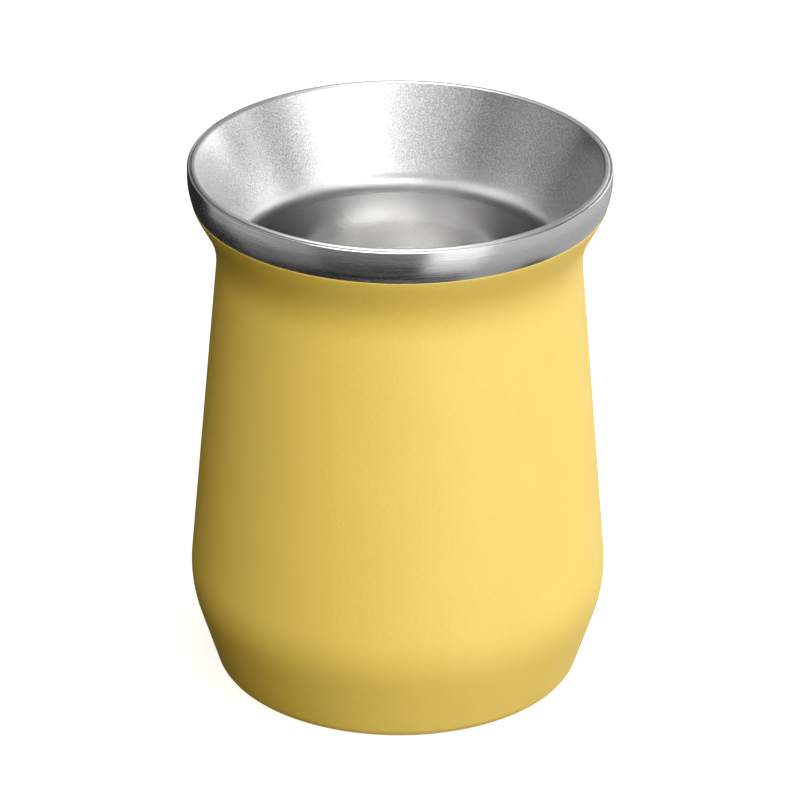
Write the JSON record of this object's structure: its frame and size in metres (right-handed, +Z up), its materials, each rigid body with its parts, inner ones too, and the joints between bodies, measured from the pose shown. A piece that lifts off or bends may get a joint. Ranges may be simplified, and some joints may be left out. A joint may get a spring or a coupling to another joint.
{
  "type": "mate cup",
  "caption": "Waisted insulated metal drinking cup with a wide funnel mouth, a bare turned-over rim band, a straight-walled chamber and a coated tapering body.",
  "frame": {"origin": "middle of the plane that the cup stands on", "axes": "+Z up along the cup's axis, towards the mouth; +X passes over the getter pill"},
  "size_m": [0.088, 0.088, 0.115],
  "materials": {
    "bare_steel": "bead-blasted satin inside, brushed round the rim band",
    "coating": "matt powder coat with a fine texture, warm yellow",
    "base_steel": "satin with fine turned rings",
    "seal_glass": "dark solder glass",
    "getter_metal": "matt pressed metal powder"
  },
  "bodies": {
    "root": {"liner": "bare_steel", "outer_shell": "coating", "base_cap": "base_steel", "seal_bead": "seal_glass", "getter": "getter_metal", "base_cover": "base_steel"}
  },
  "joints": []
}
